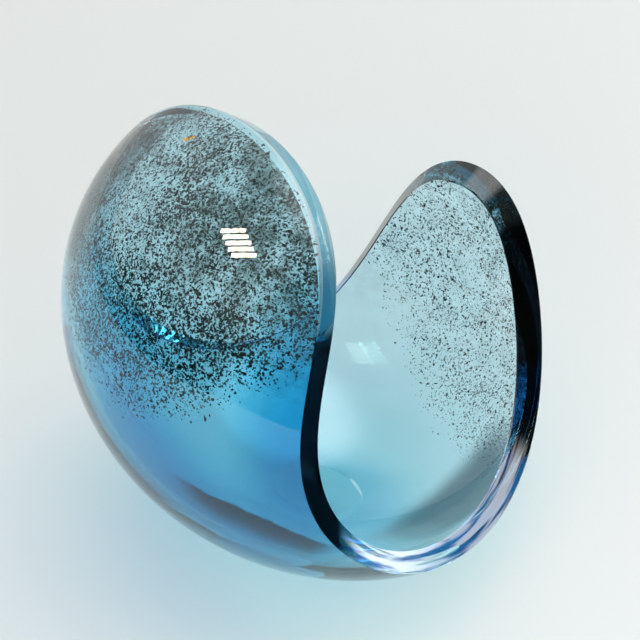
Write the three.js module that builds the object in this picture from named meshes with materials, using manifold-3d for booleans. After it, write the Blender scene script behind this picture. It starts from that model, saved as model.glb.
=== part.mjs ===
// Cut ball of cased glass, a free-standing sculpture. Millimetres, +Z up, front toward -Y.
// The ball was blown from pale aqua glass, its upper half was rolled in crushed black and
// rust glass, and it was cased in blue. Cold, it was cut along one closed line that winds
// like the seam of a tennis ball. What is left is a left lobe and a right lobe on one neck,
// and it stands on a small flat ground into the neck's underside.
import * as THREE from 'three';
import { mergeVertices } from 'three/addons/utils/BufferGeometryUtils.js';
import Module from 'manifold-3d';

// Half widths of the ball as blown: across the lobes, across the openings, along its height
const HALF_LOBES = 99.6;
const HALF_OPENINGS = 120.5;
const HALF_HEIGHT = 98.9;

// Glass wall, and the hollow's centre off the ball's centre, toward the left lobe and down
const WALL = 8.9;
const HOLLOW_TO_LEFT = 3.4;
const HOLLOW_DOWN = 1.3;

// The saw leans, so the cut's inner edge runs along a slightly turned line
const LEAN_LOBES = -0.094;
const LEAN_OPENINGS = -0.009;
const LEAN_HEIGHT = 0.049;

// Blue casing: thick at the neck, thin at the tips of the lobes
const CASING_AT_NECK = 2.9;
const CASING_AT_TIPS = 1.5;
const CASING_FADE_END = 0.2;

// Crushed glass between the two layers, the space round it, and the line where it starts:
// its height as a share of the ball's, how much it rises to the sides and where it is lowest
const CLEARANCE = 0.3;
const SPECK_THICK = 0.5;
const SPECK_LINE = -0.4;
const SPECK_LINE_CURL = 0.8;
const SPECK_LINE_SKEW = 0.13;
const POCKET_STEP = 0.06;

// Small flat polished along both edges of the cut
const ARRIS = 0.6;

// The stand: how the ball is turned on the table, and how deep its foot is ground
const STAND_TURN = -152.05;
const STAND_TILT = -30.92;
const STAND_ROLL = 9.55;
const FOOT_GRIND = 1.9;

// The cut's line: a tennis-ball seam, with slow waves that make one lobe taller
const SEAM_WAVE = 0.112;
const SEAM_WAVE_5 = -0.042;
const SEAM_RISE_6 = -0.023;
const SEAM_SHIFT_X = 0.335;
const SEAM_SHIFT_Y = -0.069;
const SEAM_SHIFT_Z = 0.109;
const SEAM_TWIN_X = 0.332;
const SEAM_TWIN_Y = -0.167;
const SEAM_RISE_COS_4 = -0.014;
const SEAM_RISE_SIN_4 = -0.045;
const SEAM_RISE_COS_1 = -0.024;
const SEAM_RISE_SIN_1 = 0.057;

// Steps of the mesh: along the cut, and from the neck's pole out to the cut
const STEPS_ALONG = 80;
const RINGS = 14;

const BALL = new THREE.Vector3(HALF_LOBES, HALF_OPENINGS, HALF_HEIGHT);
const HOLLOW = BALL.clone().subScalar(WALL);
const HOLLOW_CENTRE = new THREE.Vector3(HOLLOW_TO_LEFT, 0, -HOLLOW_DOWN);
const LEAN = new THREE.Vector3(LEAN_LOBES, LEAN_OPENINGS, LEAN_HEIGHT);
const POLE = new THREE.Vector3(0, 0, -1);

// Direction from the ball's centre to the cut, for a turn t along the line.
// x runs toward the left lobe, y toward the front opening, z up the blown ball.
function cutDirection(t) {
  const wave = 1 - SEAM_WAVE;
  const rise = 2 * Math.sqrt(wave * SEAM_WAVE);
  let a = wave * Math.cos(t) + SEAM_WAVE * Math.cos(3 * t) + SEAM_WAVE_5 * Math.cos(5 * t);
  let b = wave * Math.sin(t) - SEAM_WAVE * Math.sin(3 * t) + SEAM_WAVE_5 * Math.sin(5 * t);
  let c = rise * Math.sin(2 * t) + SEAM_RISE_6 * Math.sin(6 * t);
  a += SEAM_TWIN_X * Math.cos(2 * t) + SEAM_SHIFT_X;
  b += SEAM_TWIN_Y * Math.cos(2 * t) + SEAM_SHIFT_Y;
  c += SEAM_RISE_COS_4 * Math.cos(4 * t) + SEAM_RISE_SIN_4 * Math.sin(4 * t);
  c += SEAM_RISE_COS_1 * Math.cos(t) + SEAM_RISE_SIN_1 * Math.sin(t) + SEAM_SHIFT_Z;
  return new THREE.Vector3((a + b) / Math.SQRT2, (b - a) / Math.SQRT2, c).normalize();
}

// The outer edge of the cut as a closed curve, used to space the steps evenly
class CutLine extends THREE.Curve {
  getPoint(u, target = new THREE.Vector3()) {
    return target.copy(cutDirection(2 * Math.PI * u).multiply(BALL));
  }
}
const cutLine = new CutLine();
cutLine.arcLengthDivisions = 2000;

const outerEdge = [];
const innerEdge = [];
for (let i = 0; i < STEPS_ALONG; i++) {
  const t = 2 * Math.PI * cutLine.getUtoTmapping(i / STEPS_ALONG);
  outerEdge.push(cutDirection(t));
  innerEdge.push(cutDirection(t).add(LEAN).normalize());
}

// Direction that lies the share r of the way from the neck's pole to an edge direction
function alongArc(edge, r) {
  const whole = POLE.angleTo(edge);
  const from = Math.sin((1 - r) * whole) / Math.sin(whole);
  const to = Math.sin(r * whole) / Math.sin(whole);
  return POLE.clone().multiplyScalar(from).addScaledVector(edge, to);
}

const ring = [];
for (let j = 0; j <= RINGS; j++) {
  ring.push(j / RINGS);
}

// Thickness of the blue casing, which thins from the neck's pole up the lobes
function casingThickness(direction) {
  const up = THREE.MathUtils.smoothstep(direction.z, -1, CASING_FADE_END);
  return THREE.MathUtils.lerp(CASING_AT_NECK, CASING_AT_TIPS, up);
}

// How far a direction lies inside the speckled upper zone: 0 outside, 1 well inside
function speckled(direction) {
  const line = SPECK_LINE + SPECK_LINE_CURL * (direction.y - SPECK_LINE_SKEW) ** 2;
  return THREE.MathUtils.smoothstep(direction.z, line - POCKET_STEP, line);
}

// A place in the wall: column i, share r of the arc, and depth below the outer surface
function place(i, r, depthAt) {
  const direction = alongArc(outerEdge[i], r);
  const outer = direction.clone().multiply(BALL);
  const inner = alongArc(innerEdge[i], r).multiply(HOLLOW).add(HOLLOW_CENTRE);
  const wall = outer.distanceTo(inner);
  return outer.lerp(inner, depthAt(direction, wall) / wall);
}

// Depths below the ball's outside of the surfaces that the layers share
const onOutside = () => 0;
const underCasing = (direction) => casingThickness(direction);
const overSpecks = (direction) => underCasing(direction) + CLEARANCE;
const underSpecks = (direction) => overSpecks(direction) + SPECK_THICK;
const overWall = (direction) =>
  overSpecks(direction) + (SPECK_THICK + CLEARANCE) * speckled(direction);
const onHollow = (direction, wall) => wall;

// Every surface has one corner for each column and ring, and each cell between them is
// split along its shorter diagonal, so that the layers' facets lie parallel
function cornersOf(depthAt) {
  const corners = [];
  for (let i = 0; i < STEPS_ALONG; i++) {
    corners.push(ring.map((r) => place(i, r, depthAt)));
  }
  return corners;
}

const outside = cornersOf(onOutside);
function cellFaces(i, j) {
  const n = (i + 1) % STEPS_ALONG;
  const rising = outside[i][j].distanceTo(outside[n][j + 1]);
  const falling = outside[n][j].distanceTo(outside[i][j + 1]);
  if (rising < falling) {
    return [[[i, j], [n, j], [n, j + 1]], [[i, j], [n, j + 1], [i, j + 1]]];
  }
  return [[[i, j], [n, j], [i, j + 1]], [[n, j], [n, j + 1], [i, j + 1]]];
}

// Collects corners by name and faces of them, and turns them into one geometry
class Skin {
  constructor() {
    this.points = [];
    this.names = new Map();
    this.faces = [];
  }
  corner(name, point) {
    if (!this.names.has(name)) {
      this.names.set(name, this.points.length);
      this.points.push(point);
    }
    return this.names.get(name);
  }
  quad(a, b, c, d) {
    this.faces.push(a, b, c, a, c, d);
  }
  geometry() {
    const geometry = new THREE.BufferGeometry().setFromPoints(this.points);
    geometry.setIndex(this.faces);
    return geometry;
  }
}

// One whole layer of the wall between two depths, closed at the cut by flat faces.
// Its outer and its inner edge can each have an arris.
function layerGeometry(upper, lower, upperArris, lowerArris) {
  const skin = new Skin();
  const top = cornersOf(upper);
  const bottom = cornersOf(lower);
  const topAt = (i, j) => skin.corner(j === 0 ? 'top' : `top ${i} ${j}`, top[i][j]);
  const bottomAt = (i, j) => skin.corner(j === 0 ? 'low' : `low ${i} ${j}`, bottom[i][j]);
  const lip = [];
  for (let i = 0; i < STEPS_ALONG; i++) {
    const arc = outside[i][RINGS - 1].distanceTo(outside[i][RINGS]);
    const face = top[i][RINGS].distanceTo(bottom[i][RINGS]);
    const topLip = top[i][RINGS].clone().lerp(bottom[i][RINGS], upperArris / face);
    const bottomLip = bottom[i][RINGS].clone().lerp(top[i][RINGS], lowerArris / face);
    top[i][RINGS].lerp(top[i][RINGS - 1], upperArris / arc);
    bottom[i][RINGS].lerp(bottom[i][RINGS - 1], lowerArris / arc);
    const steps = [topAt(i, RINGS)];
    if (upperArris > 0) {
      steps.push(skin.corner(`top lip ${i}`, topLip));
    }
    if (lowerArris > 0) {
      steps.push(skin.corner(`low lip ${i}`, bottomLip));
    }
    steps.push(bottomAt(i, RINGS));
    lip.push(steps);
  }
  for (let i = 0; i < STEPS_ALONG; i++) {
    const n = (i + 1) % STEPS_ALONG;
    skin.faces.push(topAt(i, 0), topAt(n, 1), topAt(i, 1));
    skin.faces.push(bottomAt(i, 0), bottomAt(i, 1), bottomAt(n, 1));
    for (let j = 1; j < RINGS; j++) {
      for (const [a, b, c] of cellFaces(i, j)) {
        skin.faces.push(topAt(...a), topAt(...b), topAt(...c));
        skin.faces.push(bottomAt(...a), bottomAt(...c), bottomAt(...b));
      }
    }
    for (let k = 0; k < lip[i].length - 1; k++) {
      skin.quad(lip[i][k], lip[n][k], lip[n][k + 1], lip[i][k + 1]);
    }
  }
  return skin.geometry();
}

// The speckled layer of one lobe: every facet that lies wholly in the speckled zone,
// as a thin sheet whose lower edge is as ragged as the scatter of the crushed glass
function speckGeometry(side) {
  const skin = new Skin();
  const top = cornersOf(overSpecks);
  const bottom = cornersOf(underSpecks);
  const inZone = ([i, j]) => {
    const direction = alongArc(outerEdge[i], ring[j]);
    return direction.x * side > 0 && speckled(direction) === 1;
  };
  const faces = [];
  for (let i = 0; i < STEPS_ALONG; i++) {
    for (let j = 1; j < RINGS; j++) {
      faces.push(...cellFaces(i, j).filter((face) => face.every(inZone)));
    }
  }
  const key = ([i, j]) => `${i} ${j}`;
  const shared = new Set();
  for (const [a, b, c] of faces) {
    for (const [from, to] of [[a, b], [b, c], [c, a]]) {
      shared.add(`${key(from)} > ${key(to)}`);
    }
  }
  const topAt = ([i, j]) => skin.corner(`top ${i} ${j}`, top[i][j]);
  const bottomAt = ([i, j]) => skin.corner(`low ${i} ${j}`, bottom[i][j]);
  for (const [a, b, c] of faces) {
    skin.faces.push(topAt(a), topAt(b), topAt(c));
    skin.faces.push(bottomAt(a), bottomAt(c), bottomAt(b));
    for (const [from, to] of [[a, b], [b, c], [c, a]]) {
      if (!shared.has(`${key(to)} > ${key(from)}`)) {
        skin.quad(topAt(to), topAt(from), bottomAt(from), bottomAt(to));
      }
    }
  }
  return skin.geometry();
}

// Turns the ball as it stands on the table
const stand = new THREE.Matrix4().makeRotationFromEuler(
  new THREE.Euler(
    THREE.MathUtils.degToRad(STAND_ROLL),
    THREE.MathUtils.degToRad(STAND_TILT),
    THREE.MathUtils.degToRad(STAND_TURN),
    'ZYX'
  )
);

// Lowest height of the turned ball, and the height of the ground foot
const upInBall = new THREE.Vector3(0, 0, 1).applyMatrix4(stand.clone().transpose());
const lowest = -upInBall.clone().multiply(BALL).length();
const footHeight = lowest + FOOT_GRIND;

const wasm = await Module();
wasm.setup();

function toSolid(geometry) {
  const bare = geometry.clone();
  bare.deleteAttribute('normal');
  bare.deleteAttribute('uv');
  const merged = mergeVertices(bare, 0.0001);
  const vertProperties = new Float32Array(merged.attributes.position.array);
  const triVerts = new Uint32Array(merged.index.array);
  return new wasm.Manifold(new wasm.Mesh({ numProp: 3, vertProperties, triVerts }));
}

function toGeometry(solid) {
  const mesh = solid.getMesh();
  const geometry = new THREE.BufferGeometry();
  geometry.setAttribute('position', new THREE.Float32BufferAttribute(mesh.vertProperties, 3));
  geometry.setIndex(Array.from(mesh.triVerts));
  return geometry;
}

// The foot is ground flat: everything of the casing below the foot's height goes
const casingBlank = layerGeometry(onOutside, underCasing, ARRIS, 0).applyMatrix4(stand);
const wheel = new THREE.BoxGeometry(4 * HALF_LOBES, 4 * HALF_LOBES, HALF_HEIGHT);
wheel.translate(0, 0, footHeight - HALF_HEIGHT / 2);
const casing = toGeometry(toSolid(casingBlank).subtract(toSolid(wheel)));
const wall = layerGeometry(overWall, onHollow, 0, ARRIS).applyMatrix4(stand);

// The origin lies under the middle of the whole, on the table
const bounds = new THREE.Box3().setFromBufferAttribute(casing.attributes.position);
bounds.union(new THREE.Box3().setFromBufferAttribute(wall.attributes.position));
const middle = bounds.getCenter(new THREE.Vector3());
const toTable = new THREE.Matrix4().makeTranslation(-middle.x, -middle.y, -footHeight);

const sculpture = new THREE.Group();
function add(name, geometry, color, roughness) {
  geometry.applyMatrix4(toTable);
  geometry.computeVertexNormals();
  const material = new THREE.MeshStandardMaterial({ color, roughness, metalness: 0 });
  const mesh = new THREE.Mesh(geometry, material);
  mesh.name = name;
  sculpture.add(mesh);
}

add('blue_glass_casing', casing, 0x2f86c0, 0.04);
add('aqua_glass_wall', wall, 0xa9d8dd, 0.04);
add('left_lobe_specks', speckGeometry(1).applyMatrix4(stand), 0x2a2724, 0.3);
add('right_lobe_specks', speckGeometry(-1).applyMatrix4(stand), 0x2a2724, 0.3);

export default sculpture;
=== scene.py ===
import math

import bpy
import numpy as np
from mathutils import Euler, Matrix, Vector, noise


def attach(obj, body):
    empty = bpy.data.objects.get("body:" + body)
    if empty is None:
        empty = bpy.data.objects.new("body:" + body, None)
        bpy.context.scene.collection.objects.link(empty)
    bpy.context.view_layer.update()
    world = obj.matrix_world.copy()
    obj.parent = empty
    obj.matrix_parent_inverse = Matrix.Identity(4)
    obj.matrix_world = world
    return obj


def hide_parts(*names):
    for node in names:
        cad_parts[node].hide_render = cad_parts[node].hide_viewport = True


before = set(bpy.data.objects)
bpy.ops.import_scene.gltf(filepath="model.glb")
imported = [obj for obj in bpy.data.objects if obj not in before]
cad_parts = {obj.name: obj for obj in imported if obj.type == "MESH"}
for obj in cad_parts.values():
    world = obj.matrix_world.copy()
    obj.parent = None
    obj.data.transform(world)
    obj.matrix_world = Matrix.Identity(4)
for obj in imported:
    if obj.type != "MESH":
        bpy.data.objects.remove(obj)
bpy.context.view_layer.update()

MM = 0.001

# The blown ball. Half widths across the lobes, across the openings and along its height.
# They are a hair under the solid's, so that the finer mesh stays inside its box.
BALL = np.array([99.4, 120.25, 98.65])
WALL = 8.7
HOLLOW = BALL - WALL
HOLLOW_CENTRE = np.array([3.4, 0.0, -1.3])
LEAN = np.array([-0.094, -0.009, 0.049])
ARRIS = 0.5

# The line of the cut: a tennis-ball seam with slow waves that make one lobe taller
SEAM_WAVE = 0.112
SEAM_WAVE_5 = -0.042
SEAM_RISE_6 = -0.023
SEAM_SHIFT = (0.335, -0.069, 0.109)
SEAM_TWIN = (0.332, -0.167)
SEAM_RISE_4 = (-0.014, -0.045)
SEAM_RISE_1 = (-0.024, 0.057)

# How the ball stands on the table, and where its centre is
STAND = Euler((math.radians(9.55), math.radians(-30.92), math.radians(-152.05)), "XYZ")
STAND_TURN = np.array(STAND.to_matrix())
BALL_CENTRE = np.array([8.2056, 3.5713, 97.6686])

# The blue casing under the outer skin, thick at the neck and the left lobe's foot
BLUE_DEPTH = 0.15
BLUE_AT_NECK = 0.45
BLUE_ON_LOBES = 0.12
BLUE_FOOT_LIFT = 0.15

# How finely each piece is meshed: round the ball, down one skin and across the cut
BODY_MESH = (288, 60, 5)
BLUE_MESH = (200, 44, 2)
SHEET_MESH = (180, 90)
SMOOTH_BELOW = 30
AMBER_SMOOTH_BELOW = 40

# The cut is where a face leans this far off the skin, and its arrises lean less than its middle
CUT_FACING = 0.93
CUT_MIDDLE_FACING = 0.35

# Fades are given as where they start, where they end and, if not 0 and 1, the values there.
# How strongly one wall holds back red, green and blue light, on the right lobe and the left
BLUE_HUE = (1.0, 0.27, 0.10)
BLUEST = 4.0
BLUE_STOPS = (0.0, 0.12, 0.25, 0.4, 0.6, 0.8, 1.0)
UNDER_RIGHT = (-0.45, -0.89)
RIGHT_BLUE = (0.86, 1.0, 0.42, 1.45)
LEFT_BLUE = (0.15, -0.35, 0.75, 1.40)
LEFT_FOOT_BLUE = (-0.40, -0.80, 0.0, 1.7)
LEFT_SIDE = (-0.15, 0.40)
GATHERED_BLUE = 2.3

# Patches on the glass. Each step is an axis, where the patch has faded out and where it is full.
# These lie on the ball's own axes, in parts of its half widths
GATHER = (("front", 0.50, 0.71), ("height", 0.45, -0.05), ("height", -0.70, -0.35), ("left", 0.25, 0.5))
# This patch and the next place painted shade, not colour of the glass
WEDGE = (("front", 0.14, 0.24), ("front", 0.56, 0.46), ("left", -0.40, -0.58), ("height", -0.10, -0.35))
# Painted shade low on the left lobe, by its foot
FOOT_SHADE = (
    ("height", -0.610, -0.625), ("height", -0.79, -0.66),
    ("front", 0.24, 0.42), ("front", 0.80, 0.70), ("left", 0.20, 0.32),
)
OUTER_SKIN = (0.95, 0.985)

# And these on the cut, in metres on the table's axes. They place painted shade on the cut, and a painted
# highlight along its bottom sweep
LEFT_STRIP = (("up", 0.156, 0.150), ("up", 0.035, 0.055), ("right", 0.022, 0.012), ("back", -0.02, -0.04))
RIGHT_RIM = (("right", 0.074, 0.080), ("up", 0.114, 0.106), ("up", 0.036, 0.048))
REAR_BAND = (("back", 0.04, 0.06), ("up", 0.108, 0.098), ("right", 0.002, 0.010))
REAR_FOOT = (("back", 0.04, 0.06), ("up", 0.062, 0.050))
TOP_LINE = (("back", 0.00, 0.02), ("up", 0.120, 0.140))
UPPER_BAND = (("up", 0.188, 0.164), ("up", 0.140, 0.150), ("right", 0.030, 0.015), ("back", 0.0, -0.03))
BOTTOM_SWEEP = (("back", 0.0, -0.015), ("up", 0.076, 0.056), ("right", 0.008, 0.022))
REAR_LOW = (("back", -0.03, 0.0), ("up", 0.080, 0.066))
LOW_LEFT = (("right", 0.010, 0.002),)
LOWEST = (("up", 0.062, 0.050),)

# Colours and strengths of the patches, most of them painted shade, the waves of the painted shade by the left
# lobe's foot and the streaks of the painted glow
# Painted shade on the cut: nearly black, and deep blue low at the rear
PAINTED_SHADE_BLACK = (0.0004, 0.0008, 0.0012, 1)
PAINTED_SHADE_ULTRAMARINE = (0.002, 0.050, 0.26, 1)
CUT_COLOUR = (0.97, 1.0, 1.0, 1)
# Painted shade on the upper band of the cut
PAINTED_BAND_SHADE = (0.11, 0.18, 0.25, 1)
# Painted shade low on the left lobe: its colour, strength and wavy upper edge
FOOT_SHADE_COLOUR = (0.004, 0.004, 0.005, 1)
FOOT_SHADE_STRENGTH = 0.97
FOOT_SHADE_WAVES = (7.0, 3.0)
FOOT_SHADE_WAVE_HEIGHT = 0.05
# Painted shade: the dark teal wedge inside the right lobe
WEDGE_SHADE_COLOUR = (0.004, 0.080, 0.125, 1)
WEDGE_SHADE_STRENGTH = 0.82
# Painted highlight: the glow along the bottom of the cut, its streaks and where it is strongest
NO_GLOW = (0, 0, 0, 1)
PAINTED_EDGE_GLOW = (1.0, 0.98, 0.94, 1)
STREAK_STRETCH = (42.0, 3.0, 3.0)
STREAK_NOISE = (1.0, 3.0)
STREAK_GLOW = (0.42, 0.58, 0.0, 0.66)
GLOW_BY_PLACE = (0.030, 0.060, 1.25, 0.60)

# The left strip is shaded as if it faced this way, so that it mirrors the dark side of the room
STRIP_NORMAL = (0.44, -0.74, 0.50)

# What is left of light in the clear and the blue glass, and the tint of the shadow on the table
GLASS_IOR = 1.5
AQUA_LEFT = (0.0, 0.62, 0.70, 1)
AQUA_DENSITY = 1.5
BLUE_LEFT = (0.0, 0.66, 0.86, 1)
BLUE_DENSITY = 150.0
SHADOW_DEPTH = 0.62
SHADOW_TINT = (0.77, 0.925, 0.925, 1)

# Crushed glass: the sheet under each lobe's skin, in millimetres, shares and degrees of the seam
SHEET_DEPTH = 0.45
SHEET_THICK = 0.15
SHEET_FOOT = 0.42
SHEET_TIP = 0.985
LEFT_SHEET_TURNS = (-38, 128)
RIGHT_SHEET_TURNS = (142, 308)

# The border below which the crushed glass fades out
LEFT_BORDER = -0.56
RIGHT_BORDER = -0.47
BORDER_CENTRE = 0.07
BORDER_BEND = 1.1
BORDER_FADE = 0.26

# The fine flakes on each sheet, their clumps, colours and the haze between them
LEFT_FLAKES = {
    "Coverage": 0.47, "Flakes Per Metre": 2000.0, "Border": LEFT_BORDER, "Weakest Flake": 0.60, "Haze": 0.52,
}
RIGHT_FLAKES = {
    "Coverage": 0.24, "Flakes Per Metre": 2300.0, "Border": RIGHT_BORDER, "Weakest Flake": 0.22, "Haze": 0.20,
}
FLAKE_SIZES = ((1.0, 0.55), (0.56, 0.42))
FLAKE_RAGGED = (1500.0, 2.0)
FLAKE_SHIFT = (0.00045, 0.00045, 0.00045)
FLAKE_CLUMPS = (5.5, 5.0, 0.62)
CLUMP_RANGE = (0.30, 0.68, 0.35, 1.45)
THINNER_BEHIND = (-0.15, 0.30, 0.72, 1.0)
FLAKE_HUES = (
    (0.0, (0.004, 0.005, 0.006, 1)),
    (0.62, (0.020, 0.014, 0.009, 1)),
    (0.78, (0.012, 0.020, 0.018, 1)),
    (0.90, (0.055, 0.030, 0.012, 1)),
)
FLAKE_ROUGHNESS = 0.5
FLAKE_IOR = 1.05
HAZE_COLOUR = (0.120, 0.112, 0.095, 1)
HAZE_DUST = (11.0, 6.0, 0.7)
HAZE_RANGE = (0.36, 0.62, 0.15, 1.0)
HAZE_HEIGHT = (-0.35, 0.40)
HAZE_FRONT = (0.0, 0.35, 0.40, 1.0)
HAZE_BELOW_FLAKE = 0.05

# The single chips. Sizes and depths are in millimetres
CHIP_LOBES = (("left_lobe", 1, 11, 80000), ("right_lobe", -1, 12, 24000))
CHIP_CORNERS = 5
CHIP_DEPTH = (0.45, 1.3)
BLACK_CHIP_SIZE = (0.62, 0.42)
RUST_CHIP_SIZE = (0.75, 0.45)
RUST_SHARE = 0.12
CHIP_LIMITS = (0.12, 1.6)
CHIP_STRETCH = (1.0, 1.9)
CHIP_NARROWING = 0.3
CHIP_TWIST = 0.3
CHIP_REACH = (0.45, 1.35)
CHIP_TILT = 0.12
CHIP_THICK_SHARE = 0.35
CHIP_THICK_LIMITS = (0.05, 0.3)
CHIP_EDGE_ROOM = 0.012
DENSITY_CLUMPS = (5.0, 0, 4, 0.5)
DENSITY_FINE = (22.0, 7, 3, 0.35)
DENSITY_LEVEL = 0.75
NOISE_DIMENSION = 0.9
NOISE_LACUNARITY = 2.2

# The chips' colours, with their mottling and roughness
BLACK_CHIP_COLOUR = (0.006, 0.006, 0.007)
RUST_CHIP_COLOUR = (0.05, 0.028, 0.014)
AMBER_COLOUR = (0.55, 0.24, 0.04)
# The amber chip glows a little of its own colour: a painted highlight, since it is no lamp
AMBER_PAINTED_GLOW = 2.0
MOTTLE = (420.0, 4.0)
MOTTLE_RANGE = (0.35, 0.65)
MOTTLE_DARK = 0.55
MOTTLE_PALE = 1.7
CHIP_ROUGHNESS = (0.28, 0.42)

# The amber chip: where it lies, which way it points, and its length, width and thickness
AMBER_WAY = (0.86, -0.06, 0.50)
AMBER_ALONG = (0.0, 0.8, 0.6)
AMBER_SIZE = (5.4, 2.4, 0.5)
AMBER_DEPTH = 0.9
AMBER_KNOBS = (2.3, 0.35)

# The camera of the photograph
CAMERA_DISTANCE = 813.6
CAMERA_PITCH = math.radians(33.565)
FOCAL_PIXELS = 2071.88
PHOTO_WIDTH = 640
CENTRE_PIXEL = (326.506, 316.447)
SENSOR_WIDTH = 36
CAMERA_SEES = (0.05, 30)

# How often light may turn, and how bright one turned ray may be
GLASS_BOUNCES = 96
MIRROR_BOUNCES = 32
CLEAR_BOUNCES = 64
BRIGHTEST_BOUNCE = 8

# The table and the pale wall round it
TABLE_WIDTH = 1.4
TABLE_LENGTH = 1.5
TABLE_BACK = 0.15
TABLE_GRAIN = (6.0, 3.0)
TABLE_COLOURS = ((0.855, 0.885, 0.868, 1), (0.867, 0.893, 0.878, 1))
TABLE_ROUGHNESS = 0.7
BACKDROP_RADIUS = 2.3
BACKDROP_LOW = -1.2
BACKDROP_HIGH = 0.55
BACKDROP_COLUMNS = 96
BACKDROP_COLOURS = ((0.80, 0.83, 0.82, 1), (0.62, 0.66, 0.66, 1))

# The room that the glass mirrors: its brightness by height, its patches and its dark corner
SKY = (
    (0.02, (0.015, 0.016, 0.017, 1)),
    (0.18, (0.10, 0.105, 0.11, 1)),
    (0.45, (0.42, 0.44, 0.43, 1)),
    (1.0, (0.55, 0.57, 0.56, 1)),
)
SKY_PATCHES = (2.6, 2.0)
PATCH_RANGE = (0.38, 0.62, 0.6, 1.4)
DARK_CORNER = (0.8, -0.55)
DARK_CORNER_RANGE = (0.1, 0.6, 1.0, 0.08)
GLOW_WAY = (0.13, 0.16, 0.978)
GLOW_RANGE = (0.80, 0.95, 0.0, 4.2)
BACK_LIGHT_RANGE = (0.15, 0.70, 0.0, 0.7)

# The lamps that light the table: name, place, two sides and strength
CEILING_LIGHT = 1.00
WALL_LIGHT = 1.66
ROOM_LAMPS = (
    ("ceiling", (0.1, 0.1, 1.4), (1.7, 0.0, 0.0), (0.0, -1.7, 0.0), CEILING_LIGHT),
    ("right_wall", (1.0, 0.1, 0.46), (0.0, -1.7, 0.0), (0.0, 0.0, 0.8), 1.20 * WALL_LIGHT),
    ("left_wall", (-1.0, 0.1, 0.46), (0.0, 1.7, 0.0), (0.0, 0.0, 0.8), 0.45 * WALL_LIGHT),
    ("rear_wall", (0.0, 1.15, 0.46), (1.7, 0.0, 0.0), (0.0, 0.0, 0.8), 0.80 * WALL_LIGHT),
    ("front_wall", (0.0, -0.95, 0.46), (-1.7, 0.0, 0.0), (0.0, 0.0, 0.8), 1.95 * WALL_LIGHT),
)

# The slatted lamp that the glass mirrors
STRIPS = 5
STRIP_PITCH = 0.0165
STRIP_SLANT = 0.45
STRIP_SIZE = (0.066, 0.0125)
STRIP_LIGHT = 27.0
STRIP_COLOUR = (1.0, 0.91, 0.70)
STRIP_MIDDLE = (-0.262, -0.075, 0.412)
STRIP_AIM = (0.0, 0.0, 0.11)
STRIP_ALONG = (0.64, -0.45, 0.62)


def cut_directions(turns):
    """Direction of the outer edge of the cut at each turn, in the ball's own frame."""
    wave = 1 - SEAM_WAVE
    rise = 2 * math.sqrt(wave * SEAM_WAVE)
    a = wave * np.cos(turns) + SEAM_WAVE * np.cos(3 * turns) + SEAM_WAVE_5 * np.cos(5 * turns)
    b = wave * np.sin(turns) - SEAM_WAVE * np.sin(3 * turns) + SEAM_WAVE_5 * np.sin(5 * turns)
    c = rise * np.sin(2 * turns) + SEAM_RISE_6 * np.sin(6 * turns)
    a = a + SEAM_TWIN[0] * np.cos(2 * turns) + SEAM_SHIFT[0]
    b = b + SEAM_TWIN[1] * np.cos(2 * turns) + SEAM_SHIFT[1]
    c = c + SEAM_RISE_4[0] * np.cos(4 * turns) + SEAM_RISE_4[1] * np.sin(4 * turns)
    c = c + SEAM_RISE_1[0] * np.cos(turns) + SEAM_RISE_1[1] * np.sin(turns) + SEAM_SHIFT[2]
    way = np.stack([(a + b) / math.sqrt(2), (b - a) / math.sqrt(2), c], -1)
    return way / np.linalg.norm(way, axis=-1, keepdims=True)


def even_turns(count):
    """Turns along the cut that are evenly spaced on the ball's outside."""
    turns = np.linspace(0, 2 * math.pi, 4001)
    edge = cut_directions(turns) * BALL
    run = np.concatenate([[0], np.cumsum(np.linalg.norm(np.diff(edge, axis=0), axis=1))])
    return np.interp(np.arange(count) / count * run[-1], run, turns)


def along_arc(edge, share):
    """Direction that lies a share of the way from the neck's pole to an edge direction."""
    pole = np.array([0.0, 0.0, -1.0])
    whole = np.arccos(np.clip(edge @ pole, -1, 1))[..., None]
    share = np.asarray(share)[..., None]
    return (np.sin((1 - share) * whole) * pole + np.sin(share * whole) * edge) / np.sin(whole)


def wall_lines(turns, share):
    """Outer point, inner point and outer direction of the wall, in millimetres about the ball's centre."""
    edge = cut_directions(turns)
    lean = edge + LEAN
    lean = lean / np.linalg.norm(lean, axis=-1, keepdims=True)
    outward = along_arc(edge, share)
    outer = outward * BALL
    inner = along_arc(lean, share) * HOLLOW + HOLLOW_CENTRE
    return outer, inner, outward


def smoothstep(value, low, high):
    t = np.clip((value - low) / (high - low), 0, 1)
    return t * t * (3 - 2 * t)


def to_table(points):
    """From millimetres about the ball's centre to metres on the table."""
    return (points @ STAND_TURN.T + BALL_CENTRE) * MM


def deselect_all():
    if bpy.context.object and bpy.context.object.mode != "OBJECT":
        bpy.ops.object.mode_set(mode="OBJECT")
    bpy.ops.object.select_all(action="DESELECT")


def pick_up(piece):
    deselect_all()
    bpy.context.view_layer.objects.active = piece
    piece.select_set(True)


def corner_places(mesh):
    places = np.zeros(len(mesh.vertices) * 3)
    mesh.vertices.foreach_get("co", places)
    return places.reshape(-1, 3)


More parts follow.
